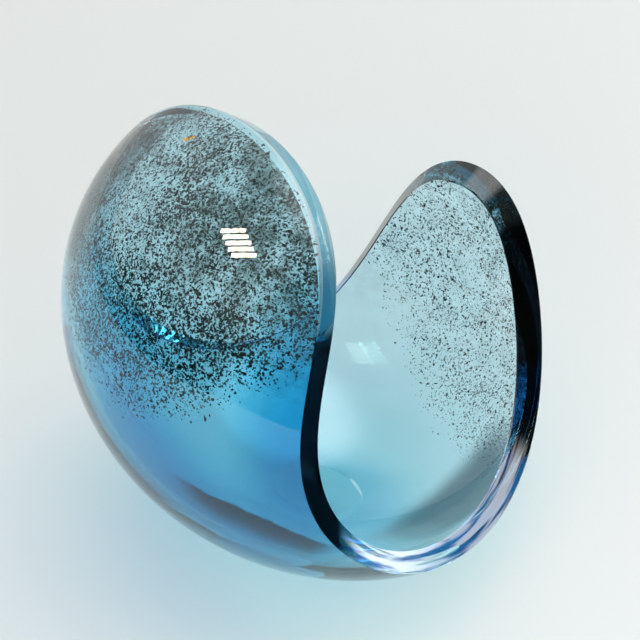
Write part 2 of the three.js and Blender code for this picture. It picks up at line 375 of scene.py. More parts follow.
def skin_of_wall(name, columns, rings, upper, lower, across):
    """A sphere whose southern half becomes the wall's outer skin and northern half its inner
    skin, joined across the cut. upper and lower give the depth of each skin in millimetres."""
    deselect_all()
    levels = 2 * rings + across
    bpy.ops.mesh.primitive_uv_sphere_add(segments=columns, ring_count=levels, radius=1)
    piece = bpy.context.object
    piece.name = name
    piece.data.name = name
    at = corner_places(piece.data)
    level = np.rint(np.arccos(np.clip(-at[:, 2], -1, 1)) / math.pi * levels).astype(int)
    column = np.rint(np.arctan2(at[:, 1], at[:, 0]) / (2 * math.pi) * columns).astype(int)
    share = np.where(level <= rings, level, levels - level) / rings
    share = np.clip(share, 0, 1)
    outer, inner, outward = wall_lines(even_turns(columns)[column % columns], share)
    wall = np.linalg.norm(outer - inner, axis=1)
    step = np.clip((level - rings) / across, 0, 1)
    depth = upper(outward, wall) * (1 - step) + lower(outward, wall) * step
    place = outer + (inner - outer) * (depth / wall)[:, None]
    piece.data.vertices.foreach_set("co", to_table(place).ravel())
    piece.data.update()
    return piece, level


def select_loops(piece, level, wanted):
    pick_up(piece)
    mesh = piece.data
    mesh.vertices.foreach_set("select", np.zeros(len(mesh.vertices), bool))
    mesh.polygons.foreach_set("select", np.zeros(len(mesh.polygons), bool))
    ends = np.zeros(len(mesh.edges) * 2, int)
    mesh.edges.foreach_get("vertices", ends)
    ends = level[ends.reshape(-1, 2)]
    mesh.edges.foreach_set("select", (ends[:, 0] == ends[:, 1]) & np.isin(ends[:, 0], wanted))


def grind_arris(piece, level, loops, width):
    """A small flat along each sharp edge of the cut."""
    select_loops(piece, level, loops)
    bpy.ops.object.mode_set(mode="EDIT")
    bpy.ops.mesh.select_mode(type="EDGE")
    bpy.ops.mesh.bevel(offset=width * MM, offset_type="OFFSET", segments=1, affect="EDGES")
    bpy.ops.object.mode_set(mode="OBJECT")


def grind_foot(piece, height):
    """Cuts the underside flat and keeps the flat's edge crisp."""
    pick_up(piece)
    bpy.ops.object.mode_set(mode="EDIT")
    bpy.ops.mesh.select_mode(type="EDGE")
    bpy.ops.mesh.select_all(action="SELECT")
    bpy.ops.mesh.bisect(
        plane_co=(0, 0, height * MM), plane_no=(0, 0, 1),
        use_fill=True, clear_inner=True, threshold=1e-6,
    )
    bpy.ops.mesh.mark_sharp()
    bpy.ops.object.mode_set(mode="OBJECT")


def finish_smooth(piece, angle):
    pick_up(piece)
    bpy.ops.object.shade_smooth_by_angle(angle=math.radians(angle), keep_sharp_edges=True)


def new_material(name):
    material = bpy.data.materials.new(name)
    material.use_nodes = True
    tree = material.node_tree
    tree.nodes.clear()
    out = tree.nodes.new("ShaderNodeOutputMaterial")
    return material, tree, out


def plug(tree, given, socket):
    """Sets a socket to a value, or links it to another socket."""
    if isinstance(given, (int, float, tuple)):
        socket.default_value = given
    else:
        tree.links.new(given, socket)


def sum_up(tree, operation, first, second=0.0, third=0.0):
    """A math node on numbers or sockets."""
    node = tree.nodes.new("ShaderNodeMath")
    node.operation = operation
    for socket, given in zip(node.inputs, (first, second, third)):
        plug(tree, given, socket)
    return node.outputs[0]


def times(tree, first, *others):
    for other in others:
        first = sum_up(tree, "MULTIPLY", first, other)
    return first


def most(tree, first, *others):
    for other in others:
        first = sum_up(tree, "MAXIMUM", first, other)
    return first


def ease(tree, value, low, high, start=0.0, end=1.0):
    """A smooth step from low to high."""
    node = tree.nodes.new("ShaderNodeMapRange")
    node.interpolation_type = "SMOOTHSTEP"
    names = ("Value", "From Min", "From Max", "To Min", "To Max")
    for name, given in zip(names, (value, low, high, start, end)):
        plug(tree, given, node.inputs[name])
    return node.outputs[0]


def mix_colours(tree, factor, first, second, blend="MIX"):
    node = tree.nodes.new("ShaderNodeMix")
    node.data_type = "RGBA"
    node.blend_type = blend
    for name, given in (("Factor", factor), ("A", first), ("B", second)):
        plug(tree, given, node.inputs[name])
    return node.outputs["Result"]


def colour_ramp(tree, value, stops, interpolation="LINEAR"):
    """A ramp through stops, each a position and a colour."""
    node = tree.nodes.new("ShaderNodeValToRGB")
    ramp = node.color_ramp
    ramp.interpolation = interpolation
    for element, (position, colour) in zip(ramp.elements, (stops[0], stops[-1])):
        element.position = position
        element.color = colour
    for position, colour in stops[1:-1]:
        ramp.elements.new(position).color = colour
    plug(tree, value, node.inputs["Fac"])
    return node.outputs["Color"]


def cloud(tree, vector, scale, detail, roughness=0.5):
    """Noise over a place. Its outputs are Fac and Color."""
    node = tree.nodes.new("ShaderNodeTexNoise")
    node.inputs["Scale"].default_value = scale
    node.inputs["Detail"].default_value = detail
    node.inputs["Roughness"].default_value = roughness
    tree.links.new(vector, node.inputs["Vector"])
    return node.outputs


def object_place(tree):
    return tree.nodes.new("ShaderNodeTexCoord").outputs["Object"]


def ball_place(tree):
    """Place on the ball as a direction from its centre: left lobe, front opening, height."""
    turn = tree.nodes.new("ShaderNodeMapping")
    turn.vector_type = "TEXTURE"
    turn.inputs["Location"].default_value = BALL_CENTRE * MM
    turn.inputs["Rotation"].default_value = STAND
    turn.inputs["Scale"].default_value = BALL * MM
    tree.links.new(object_place(tree), turn.inputs["Vector"])
    return turn.outputs["Vector"]


def pieces_of(tree, vector):
    split = tree.nodes.new("ShaderNodeSeparateXYZ")
    tree.links.new(vector, split.inputs[0])
    return split.outputs["X"], split.outputs["Y"], split.outputs["Z"]


def length_of(tree, vector):
    node = tree.nodes.new("ShaderNodeVectorMath")
    node.operation = "LENGTH"
    tree.links.new(vector, node.inputs[0])
    return node.outputs["Value"]


def table_axes(tree, vector):
    return dict(zip(("right", "back", "up"), pieces_of(tree, vector)))


def ball_axes(tree, vector):
    return dict(zip(("left", "front", "height"), pieces_of(tree, vector)))


def patch(tree, axes, steps):
    """A mask that fades in along each step's axis."""
    return times(tree, *[ease(tree, axes[axis], faded, full) for axis, faded, full in steps])


def face_mark(tree, name):
    mark = tree.nodes.new("ShaderNodeAttribute")
    mark.attribute_name = name
    return mark.outputs["Fac"]


def wall_blueness(tree):
    """How strongly one wall holds back red: pale on the right lobe, deeper under it and on the
    left lobe, and deepest where the blue has gathered along the left lobe's front edge."""
    axes = ball_axes(tree, ball_place(tree))
    under = times(tree, axes["left"], UNDER_RIGHT[0])
    under = sum_up(tree, "MULTIPLY_ADD", axes["height"], UNDER_RIGHT[1], under)
    right_blue = ease(tree, under, *RIGHT_BLUE)
    left_blue = ease(tree, axes["height"], *LEFT_BLUE)
    left_blue = sum_up(tree, "ADD", left_blue, ease(tree, axes["height"], *LEFT_FOOT_BLUE))
    on_left = ease(tree, axes["left"], *LEFT_SIDE)
    blue = times(tree, sum_up(tree, "SUBTRACT", left_blue, right_blue), on_left)
    blue = sum_up(tree, "ADD", blue, right_blue)
    return sum_up(tree, "MULTIPLY_ADD", patch(tree, axes, GATHER), GATHERED_BLUE, blue)


def wall_tint(tree):
    """The colour that one wall lets through, by how blue it is."""
    stops = []
    for position in BLUE_STOPS:
        depth = position * BLUEST
        stops.append((position, [math.exp(-share * depth) for share in BLUE_HUE] + [1]))
    return colour_ramp(tree, sum_up(tree, "DIVIDE", wall_blueness(tree), BLUEST), stops)


def cut_painted_shade(tree, axes, cut):
    """Painted shade on the polished cut, nearly black or deep blue: down the left of the front opening,
    up the right rim, along the rear opening, and on the arris behind the left lobe's top."""
    dark = most(
        tree, patch(tree, axes, LEFT_STRIP), patch(tree, axes, REAR_BAND),
        patch(tree, axes, RIGHT_RIM), patch(tree, axes, REAR_FOOT),
    )
    top_line = times(tree, patch(tree, axes, TOP_LINE), face_mark(tree, "arris_face"))
    low = most(tree, patch(tree, axes, LOW_LEFT), patch(tree, axes, LOWEST))
    low = times(tree, low, patch(tree, axes, REAR_LOW))
    colour = mix_colours(tree, low, PAINTED_SHADE_BLACK, PAINTED_SHADE_ULTRAMARINE)
    return most(tree, times(tree, dark, cut), top_line), colour


def painted_edge_glow(tree, axes, cut):
    """A painted highlight: the cut glows in bright streaks along its bottom, standing in for light that the
    wall gathers and lets out.
    """
    ball = ball_place(tree)
    left, front, height = pieces_of(tree, ball)
    lines = tree.nodes.new("ShaderNodeCombineXYZ")
    for part, stretch, socket in zip((length_of(tree, ball), left, front), STREAK_STRETCH, lines.inputs):
        tree.links.new(times(tree, part, stretch), socket)
    streaks = cloud(tree, lines.outputs[0], *STREAK_NOISE)["Fac"]
    glow = ease(tree, streaks, *STREAK_GLOW)
    glow = times(tree, glow, ease(tree, axes["right"], *GLOW_BY_PLACE), patch(tree, axes, BOTTOM_SWEEP), cut)
    return mix_colours(tree, glow, NO_GLOW, PAINTED_EDGE_GLOW)


def painted_wedge_shade(tree):
    """Painted shade: a darker teal sweep inside the right lobe, beside the low front edge of the cut."""
    axes = ball_axes(tree, ball_place(tree))
    return times(tree, patch(tree, axes, WEDGE), WEDGE_SHADE_STRENGTH)


def painted_foot_shade(tree):
    """Painted shade: a near-black patch under the left lobe's skin, low down by its foot, crisp above and
    soft below.
    """
    ball = ball_place(tree)
    axes = ball_axes(tree, ball)
    waves = cloud(tree, ball, *FOOT_SHADE_WAVES)["Fac"]
    axes["height"] = sum_up(tree, "MULTIPLY_ADD", waves, FOOT_SHADE_WAVE_HEIGHT, axes["height"])
    on_skin = ease(tree, length_of(tree, ball), *OUTER_SKIN)
    return times(tree, patch(tree, axes, FOOT_SHADE), on_skin, FOOT_SHADE_STRENGTH)


def lean_strip(tree, mask):
    """The true normal, turned to STRIP_NORMAL where the mask is 1."""
    shape = tree.nodes.new("ShaderNodeNewGeometry")
    lean = tree.nodes.new("ShaderNodeMix")
    lean.data_type = "VECTOR"
    tree.links.new(mask, lean.inputs["Factor"])
    tree.links.new(shape.outputs["Normal"], lean.inputs[4])
    lean.inputs[5].default_value = STRIP_NORMAL
    return lean.outputs[1]


def glass_shader(tree, ior):
    glass = tree.nodes.new("ShaderNodeBsdfPrincipled")
    glass.inputs["Roughness"].default_value = 0.0
    glass.inputs["IOR"].default_value = ior
    glass.inputs["Transmission Weight"].default_value = 1.0
    return glass


def fill_glass(tree, out, colour, density):
    absorb = tree.nodes.new("ShaderNodeVolumeAbsorption")
    absorb.inputs["Color"].default_value = colour
    absorb.inputs["Density"].default_value = density
    tree.links.new(absorb.outputs[0], out.inputs["Volume"])


def tinted_shadow(tree, tint):
    """What shadow rays meet: the tint alone, a little softer, so that the table is lit through the glass."""
    soften = tree.nodes.new("ShaderNodeGamma")
    soften.inputs["Gamma"].default_value = SHADOW_DEPTH
    tree.links.new(tint, soften.inputs["Color"])
    cast = mix_colours(tree, 1.0, soften.outputs["Color"], SHADOW_TINT, "MULTIPLY")
    let_through = tree.nodes.new("ShaderNodeBsdfTransparent")
    tree.links.new(cast, let_through.inputs["Color"])
    return let_through.outputs[0]


def clear_glass():
    material, tree, out = new_material("aqua_glass")
    glass = glass_shader(tree, GLASS_IOR)
    axes = table_axes(tree, object_place(tree))
    cut = face_mark(tree, "cut_face")
    tint = wall_tint(tree)
    # Painted shade on the cut, nearly black or deep blue, standing in for the dark room that it mirrors
    cut_shade, cut_shade_colour = cut_painted_shade(tree, axes, cut)
    # Painted shade: a dark teal wedge inside the right lobe
    colour = mix_colours(tree, painted_wedge_shade(tree), tint, WEDGE_SHADE_COLOUR)
    # Painted shade: a near-black patch low on the left lobe
    colour = mix_colours(tree, painted_foot_shade(tree), colour, FOOT_SHADE_COLOUR)
    colour = mix_colours(tree, cut, colour, CUT_COLOUR)
    # Painted shade: the upper band of the cut is darkened to grey-blue
    colour = mix_colours(tree, times(tree, patch(tree, axes, UPPER_BAND), cut), colour, PAINTED_BAND_SHADE)
    colour = mix_colours(tree, cut_shade, colour, cut_shade_colour)
    tree.links.new(colour, glass.inputs["Base Color"])
    # Painted highlight: bright streaks glow along the bottom of the cut
    tree.links.new(painted_edge_glow(tree, axes, cut), glass.inputs["Emission Color"])
    glass.inputs["Emission Strength"].default_value = 1.0
    strip = times(tree, patch(tree, axes, LEFT_STRIP), cut)
    tree.links.new(lean_strip(tree, strip), glass.inputs["Normal"])
    path = tree.nodes.new("ShaderNodeLightPath")
    mix = tree.nodes.new("ShaderNodeMixShader")
    tree.links.new(path.outputs["Is Shadow Ray"], mix.inputs[0])
    tree.links.new(glass.outputs[0], mix.inputs[1])
    tree.links.new(tinted_shadow(tree, tint), mix.inputs[2])
    tree.links.new(mix.outputs[0], out.inputs["Surface"])
    fill_glass(tree, out, AQUA_LEFT, AQUA_DENSITY)
    return material


def blue_glass():
    """The casing bends no light of its own, since it is one with the clear glass round it."""
    material, tree, out = new_material("blue_glass")
    glass = glass_shader(tree, 1.0)
    glass.inputs["Base Color"].default_value = (1, 1, 1, 1)
    tree.links.new(glass.outputs[0], out.inputs["Surface"])
    fill_glass(tree, out, BLUE_LEFT, BLUE_DENSITY)
    return material


def flake_layer(tree, place, per_metre, wanted, weakest):
    """Jagged cells, of which a share is kept as flakes. Returns their mask and a random number."""
    cells = tree.nodes.new("ShaderNodeTexVoronoi")
    cells.feature = "F1"
    tree.links.new(place, cells.inputs["Vector"])
    tree.links.new(per_metre, cells.inputs["Scale"])
    dice = tree.nodes.new("ShaderNodeSeparateColor")
    tree.links.new(cells.outputs["Color"], dice.inputs[0])
    there = sum_up(tree, "LESS_THAN", dice.outputs[0], wanted)
    strength = ease(tree, dice.outputs[2], 0.0, 1.0, weakest, 1.0)
    return times(tree, there, strength), dice.outputs[1]


def flake_scatter():
    """Shared by both lobes: sharp flakes of two sizes, thicker in clumps, gone below the border."""
    group = bpy.data.node_groups.new("flake_scatter", "ShaderNodeTree")
    for name in ("Object Place", "Ball Place"):
        group.interface.new_socket(name, in_out="INPUT", socket_type="NodeSocketVector")
    for name in ("Coverage", "Flakes Per Metre", "Border", "Weakest Flake", "Haze"):
        group.interface.new_socket(name, in_out="INPUT", socket_type="NodeSocketFloat")
    group.interface.new_socket("Mask", in_out="OUTPUT", socket_type="NodeSocketFloat")
    group.interface.new_socket("Colour", in_out="OUTPUT", socket_type="NodeSocketColor")
    given = group.nodes.new("NodeGroupInput").outputs
    result = group.nodes.new("NodeGroupOutput").inputs
    left, front, height = pieces_of(group, given["Ball Place"])

    aside = sum_up(group, "SUBTRACT", front, BORDER_CENTRE)
    bend = times(group, aside, aside, BORDER_BEND)
    above = sum_up(group, "SUBTRACT", height, sum_up(group, "ADD", bend, given["Border"]))
    rise = ease(group, above, 0.0, BORDER_FADE)
    clump = ease(group, cloud(group, given["Ball Place"], *FLAKE_CLUMPS)["Fac"], *CLUMP_RANGE)
    wanted = times(group, rise, clump, given["Coverage"], ease(group, front, *THINNER_BEHIND))

    shift = group.nodes.new("ShaderNodeVectorMath")
    shift.operation = "MULTIPLY_ADD"
    group.links.new(cloud(group, given["Object Place"], *FLAKE_RAGGED)["Color"], shift.inputs[0])
    shift.inputs[1].default_value = FLAKE_SHIFT
    group.links.new(given["Object Place"], shift.inputs[2])
    layers = []
    for size, part in FLAKE_SIZES:
        per_metre = times(group, given["Flakes Per Metre"], size)
        chance = times(group, wanted, part)
        layers.append(flake_layer(group, shift.outputs[0], per_metre, chance, given["Weakest Flake"]))
    flakes = most(group, layers[0][0], layers[1][0])

    dust = cloud(group, given["Ball Place"], *HAZE_DUST)["Fac"]
    haze = times(
        group, ease(group, dust, *HAZE_RANGE), ease(group, height, *HAZE_HEIGHT),
        ease(group, front, *HAZE_FRONT), given["Haze"],
    )
    group.links.new(most(group, flakes, haze), result["Mask"])
    hue = colour_ramp(group, layers[0][1], FLAKE_HUES, "CONSTANT")
    in_haze = sum_up(group, "LESS_THAN", flakes, HAZE_BELOW_FLAKE)
    group.links.new(mix_colours(group, in_haze, hue, HAZE_COLOUR), result["Colour"])
    return group


def crushed_glass_sheet(name, scatter, amounts):
    material, tree, out = new_material(name)
    flakes = tree.nodes.new("ShaderNodeGroup")
    flakes.node_tree = scatter
    tree.links.new(object_place(tree), flakes.inputs["Object Place"])
    tree.links.new(ball_place(tree), flakes.inputs["Ball Place"])
    for amount, value in amounts.items():
        flakes.inputs[amount].default_value = value
    flake = tree.nodes.new("ShaderNodeBsdfPrincipled")
    flake.inputs["Roughness"].default_value = FLAKE_ROUGHNESS
    flake.inputs["IOR"].default_value = FLAKE_IOR
    tree.links.new(flakes.outputs["Colour"], flake.inputs["Base Color"])
    tree.links.new(flakes.outputs["Mask"], flake.inputs["Alpha"])
    tree.links.new(flake.outputs[0], out.inputs["Surface"])
    return material


def chip_glass(name, colour, glow=0.0):
    """Mottled glass for single chips, which can glow a little of its own colour as a painted highlight."""
    material, tree, out = new_material(name)
    chip = tree.nodes.new("ShaderNodeBsdfPrincipled")
    mottle = cloud(tree, object_place(tree), *MOTTLE)["Fac"]
    dark = tuple(MOTTLE_DARK * part for part in colour) + (1,)
    pale = tuple(MOTTLE_PALE * part for part in colour) + (1,)
    mottled = mix_colours(tree, ease(tree, mottle, *MOTTLE_RANGE), dark, pale)
    tree.links.new(mottled, chip.inputs["Base Color"])
    tree.links.new(mottled, chip.inputs["Emission Color"])
    chip.inputs["Emission Strength"].default_value = glow
    tree.links.new(ease(tree, mottle, *MOTTLE_RANGE, *CHIP_ROUGHNESS), chip.inputs["Roughness"])
    tree.links.new(chip.outputs[0], out.inputs["Surface"])
    return material


def pale_table():
    material, tree, out = new_material("pale_table")
    top = tree.nodes.new("ShaderNodeBsdfPrincipled")
    grain = cloud(tree, object_place(tree), *TABLE_GRAIN)["Fac"]
    tree.links.new(mix_colours(tree, grain, *TABLE_COLOURS), top.inputs["Base Color"])
    top.inputs["Roughness"].default_value = TABLE_ROUGHNESS
    tree.links.new(top.outputs[0], out.inputs["Surface"])
    return material


def backdrop_paper():
    """Paper that glows evenly, a little darker toward the top."""
    material, tree, out = new_material("pale_backdrop")
    axes = table_axes(tree, object_place(tree))
    paper = mix_colours(tree, ease(tree, axes["up"], BACKDROP_LOW, BACKDROP_HIGH), *BACKDROP_COLOURS)
    light = tree.nodes.new("ShaderNodeEmission")
    tree.links.new(paper, light.inputs["Color"])
    tree.links.new(light.outputs[0], out.inputs["Surface"])
    return material


def mark_cut_face(piece):
    """Face attributes that are 1 on the sawn and polished cut, and 1 on its arrises alone."""
    mesh = piece.data
    normal = np.zeros(len(mesh.polygons) * 3)
    mesh.polygons.foreach_get("normal", normal)
    centre = np.zeros(len(mesh.polygons) * 3)
    mesh.polygons.foreach_get("center", centre)
    around = (centre.reshape(-1, 3) / MM - BALL_CENTRE) @ STAND_TURN
    skin = around / BALL ** 2
    skin /= np.linalg.norm(skin, axis=1, keepdims=True)
    facing = np.abs(((normal.reshape(-1, 3) @ STAND_TURN) * skin).sum(1))
    mark = mesh.attributes.new("cut_face", "FLOAT", "FACE")
    mark.data.foreach_set("value", (facing < CUT_FACING).astype(float))
    line = mesh.attributes.new("arris_face", "FLOAT", "FACE")
    line.data.foreach_set("value", ((facing > CUT_MIDDLE_FACING) & (facing < CUT_FACING)).astype(float))


def clear_body():
    columns, rings, across = BODY_MESH
    piece, level = skin_of_wall(
        "clear_body", columns, rings,
        lambda way, wall: np.zeros(len(wall)),
        lambda way, wall: wall,
        across,
    )
    grind_arris(piece, level, (rings, rings + across), ARRIS)
    grind_foot(piece, 0.0)
    finish_smooth(piece, SMOOTH_BELOW)
    mark_cut_face(piece)
    piece.data.materials.append(clear_glass())
    return piece


def blue_thickness(way):
    low = smoothstep(-way[:, 2], -0.35, 0.8)
    left = smoothstep(way[:, 0], -0.6, 0.5)
    return BLUE_ON_LOBES + (BLUE_AT_NECK - BLUE_ON_LOBES) * low * (0.35 + 0.65 * left)


def blue_layer():
    columns, rings, across = BLUE_MESH
    piece, level = skin_of_wall(
        "blue_layer", columns, rings,
        lambda way, wall: np.full(len(wall), BLUE_DEPTH),
        lambda way, wall: BLUE_DEPTH + blue_thickness(way),
        across,
    )
    grind_foot(piece, BLUE_FOOT_LIFT)
    finish_smooth(piece, SMOOTH_BELOW)
    piece.data.materials.append(blue_glass())
    return piece


def face_outward(piece):
    pick_up(piece)
    bpy.ops.object.mode_set(mode="EDIT")
    bpy.ops.mesh.select_all(action="SELECT")
    bpy.ops.mesh.normals_make_consistent(inside=False)
    bpy.ops.object.mode_set(mode="OBJECT")


def speck_sheet(name, first_turn, last_turn):
    """A thin sheet just under the skin of one lobe, from above the neck to near the cut."""
    around, along = SHEET_MESH
    deselect_all()
    bpy.ops.mesh.primitive_grid_add(x_subdivisions=around, y_subdivisions=along, size=2)
    piece = bpy.context.object
    piece.name = name
    piece.data.name = name
    at = corner_places(piece.data)
    turns = np.radians(first_turn + (last_turn - first_turn) * (at[:, 0] + 1) / 2)
    share = SHEET_FOOT + (SHEET_TIP - SHEET_FOOT) * (at[:, 1] + 1) / 2
    outer, inner, outward = wall_lines(turns, share)
    wall = np.linalg.norm(outer - inner, axis=1)
    place = outer + (inner - outer) * (SHEET_DEPTH / wall)[:, None]
    piece.data.vertices.foreach_set("co", to_table(place).ravel())
    piece.data.update()
    face_outward(piece)
    thicken = piece.modifiers.new("thicken", "SOLIDIFY")
    thicken.thickness = SHEET_THICK * MM
    thicken.offset = -1
    bpy.ops.object.modifier_apply(modifier=thicken.name)
    face_outward(piece)
    finish_smooth(piece, SMOOTH_BELOW)
    return piece


def edge_polar():
    """Polar angle of the cut from the neck's pole, by azimuth about the ball's height."""
    edge = cut_directions(np.linspace(0, 2 * math.pi, 4000, endpoint=False))
    azimuth = np.arctan2(edge[:, 1], edge[:, 0])
    polar = np.arccos(-edge[:, 2])
    order = np.argsort(azimuth)
    azimuth = azimuth[order]
    polar = polar[order]
    return np.concatenate([azimuth - 2 * math.pi, azimuth, azimuth + 2 * math.pi]), np.tile(polar, 3)


def noise_at(way, scale, shift, octaves):
    return np.array([
        noise.fractal(Vector(w * scale + shift), NOISE_DIMENSION, NOISE_LACUNARITY, octaves) for w in way
    ])


def speck_density(way, border):
    """How thickly the chips lie at each direction, from 0 to 1."""
    line = border + BORDER_BEND * (way[:, 1] - BORDER_CENTRE) ** 2
    rise = smoothstep(way[:, 2] - line, 0.0, BORDER_FADE)
    level = DENSITY_LEVEL
    for scale, shift, octaves, share in (DENSITY_CLUMPS, DENSITY_FINE):
        level = level + share * noise_at(way, scale, shift, octaves)
    return np.clip(rise * level, 0, 1)


def scatter_chips(seed, tries, side):
    """Directions at which one lobe's chips lie, kept off the cut, and the dice for their shapes."""
    rng = np.random.default_rng(seed)
    way = rng.normal(size=(tries, 3))
    way /= np.linalg.norm(way, axis=1, keepdims=True)
    way = way[way[:, 0] * side > 0]
    azimuth, polar = edge_polar()
    room = np.interp(np.arctan2(way[:, 1], way[:, 0]), azimuth, polar) - np.arccos(-way[:, 2])
    way = way[room > CHIP_EDGE_ROOM]
    way = way[way[:, 2] > LEFT_BORDER]
    keep = speck_density(way, LEFT_BORDER if side > 0 else RIGHT_BORDER) > rng.random(len(way))
    return way[keep], rng


def chip_mesh(name, way, rng, median, spread):
    """Flat jagged shards, each a ring of five corners with a point above and below."""
    corners = CHIP_CORNERS
    count = len(way)
    normal = way / BALL
    normal /= np.linalg.norm(normal, axis=1, keepdims=True)
    depth = rng.uniform(*CHIP_DEPTH, count)
    centre = way * BALL - normal * depth[:, None]
    other = np.cross(normal, rng.normal(size=(count, 3)))
    other /= np.linalg.norm(other, axis=1, keepdims=True)
    third = np.cross(normal, other)
    size = np.clip(median * np.exp(spread * rng.normal(size=count)), *CHIP_LIMITS) / 2
    stretch = rng.uniform(*CHIP_STRETCH, count)
    twist = rng.uniform(-CHIP_TWIST, CHIP_TWIST, (count, corners))
    angle = 2 * math.pi * (np.arange(corners) + twist) / corners
    reach = size[:, None] * rng.uniform(*CHIP_REACH, (count, corners))
    x = (reach * np.cos(angle) * stretch[:, None])[..., None] * other[:, None, :]
    y = (reach * np.sin(angle) / stretch[:, None] ** CHIP_NARROWING)[..., None] * third[:, None, :]
    tilt = rng.normal(size=(count, corners)) * CHIP_TILT * size[:, None]
    ring = centre[:, None, :] + x + y + tilt[..., None] * normal[:, None, :]
    thick = np.clip(size * CHIP_THICK_SHARE, *CHIP_THICK_LIMITS)[:, None] * normal
    points = np.concatenate([ring, (centre + thick)[:, None], (centre - thick)[:, None]], 1)
    base = np.arange(count)[:, None, None] * (corners + 2)
    faces = []
    for k in range(corners):
        n = (k + 1) % corners
        faces.append([k, n, corners])
        faces.append([n, k, corners + 1])
    faces = (np.array(faces)[None] + base).reshape(-1, 3)
    mesh = bpy.data.meshes.new(name)
    mesh.vertices.add(count * (corners + 2))
    mesh.vertices.foreach_set("co", to_table(points.reshape(-1, 3)).ravel())
    mesh.loops.add(faces.size)
    mesh.loops.foreach_set("vertex_index", faces.ravel())
    mesh.polygons.add(len(faces))
    mesh.polygons.foreach_set("loop_start", np.arange(0, faces.size, 3))
    mesh.update(calc_edges=True)
    piece = bpy.data.objects.new(name, mesh)
    bpy.context.scene.collection.objects.link(piece)
    return piece


def chips(name, side, seed, tries):
    way, rng = scatter_chips(seed, tries, side)
    rust = rng.random(len(way)) < RUST_SHARE
    black = chip_mesh(name + "_black_chips", way[~rust], rng, *BLACK_CHIP_SIZE)
    brown = chip_mesh(name + "_rust_chips", way[rust], rng, *RUST_CHIP_SIZE)
    return black, brown


def amber_chip():
    """One large chip of amber glass under the left lobe's skin."""
    deselect_all()
    bpy.ops.mesh.primitive_ico_sphere_add(subdivisions=3, radius=1)
    piece = bpy.context.object
    piece.name = "amber_chip"
    piece.data.name = "amber_chip"
    way = np.array(AMBER_WAY) / np.linalg.norm(AMBER_WAY)
    out = way / BALL
    out /= np.linalg.norm(out)
    along = np.array(AMBER_ALONG)
    along = along - out * (along @ out)
    along /= np.linalg.norm(along)
    across = np.cross(out, along)
    at = corner_places(piece.data)
    fineness, height = AMBER_KNOBS
    knobs = np.array([1 + height * noise.noise(Vector(a * fineness)) for a in at])[:, None]
    at = at * knobs * np.array(AMBER_SIZE) / 2
    place = way * BALL - out * AMBER_DEPTH + at[:, :1] * along + at[:, 1:2] * across + at[:, 2:] * out
    piece.data.vertices.foreach_set("co", to_table(place).ravel())
    piece.data.update()
    finish_smooth(piece, AMBER_SMOOTH_BELOW)
    piece.data.materials.append(chip_glass("amber_glass", AMBER_COLOUR, AMBER_PAINTED_GLOW))
    return piece


def table_top():
    deselect_all()
    bpy.ops.mesh.primitive_plane_add(size=1, location=(0, 0, 0))
    table = bpy.context.object
    table.name = "table"
    bpy.ops.transform.resize(value=(TABLE_WIDTH, TABLE_LENGTH, 1))
    bpy.ops.transform.translate(value=(0, TABLE_BACK, 0))
    bpy.ops.object.transform_apply(location=True, rotation=True, scale=True)
    table.data.materials.append(pale_table())


def pale_backdrop():
    """A pale wall round the table, seen past the table's edge and through the glass."""
    deselect_all()
    bpy.ops.mesh.primitive_cylinder_add(
        vertices=BACKDROP_COLUMNS, radius=BACKDROP_RADIUS, depth=BACKDROP_HIGH - BACKDROP_LOW,
        end_fill_type="NOTHING", location=(0, 0, (BACKDROP_HIGH + BACKDROP_LOW) / 2),
    )
    wall = bpy.context.object
    wall.name = "backdrop"
    bpy.ops.object.transform_apply(location=True, rotation=True, scale=True)
    finish_smooth(wall, SMOOTH_BELOW)
    wall.data.materials.append(backdrop_paper())
    wall.visible_diffuse = False
    wall.visible_glossy = False
    wall.visible_shadow = False


def soft_room():
    """What the glass mirrors: a room that grows paler overhead and is darkest in front on the
    right, with a glow overhead and a pale far side. It doesn't light the table."""
    world = bpy.data.worlds.new("soft_room")
    bpy.context.scene.world = world
    world.use_nodes = True
    tree = world.node_tree
    tree.nodes.clear()
    where = tree.nodes.new("ShaderNodeTexCoord").outputs["Generated"]
    right, behind, up = pieces_of(tree, where)
    patches = ease(tree, cloud(tree, where, *SKY_PATCHES)["Fac"], *PATCH_RANGE)
    corner = sum_up(tree, "MULTIPLY_ADD", behind, DARK_CORNER[1], times(tree, right, DARK_CORNER[0]))
    room = tree.nodes.new("ShaderNodeBackground")
    tree.links.new(colour_ramp(tree, up, SKY), room.inputs["Color"])
    tree.links.new(times(tree, patches, ease(tree, corner, *DARK_CORNER_RANGE)), room.inputs["Strength"])
    overhead = times(tree, right, GLOW_WAY[0])
    overhead = sum_up(tree, "MULTIPLY_ADD", behind, GLOW_WAY[1], overhead)
    overhead = sum_up(tree, "MULTIPLY_ADD", up, GLOW_WAY[2], overhead)
    overhead = ease(tree, overhead, *GLOW_RANGE)
    glow = tree.nodes.new("ShaderNodeBackground")
    tree.links.new(most(tree, overhead, ease(tree, behind, *BACK_LIGHT_RANGE)), glow.inputs["Strength"])
    both = tree.nodes.new("ShaderNodeAddShader")
    tree.links.new(room.outputs[0], both.inputs[0])
    tree.links.new(glow.outputs[0], both.inputs[1])
    out = tree.nodes.new("ShaderNodeOutputWorld")
    tree.links.new(both.outputs[0], out.inputs["Surface"])
    world.cycles_visibility.diffuse = False


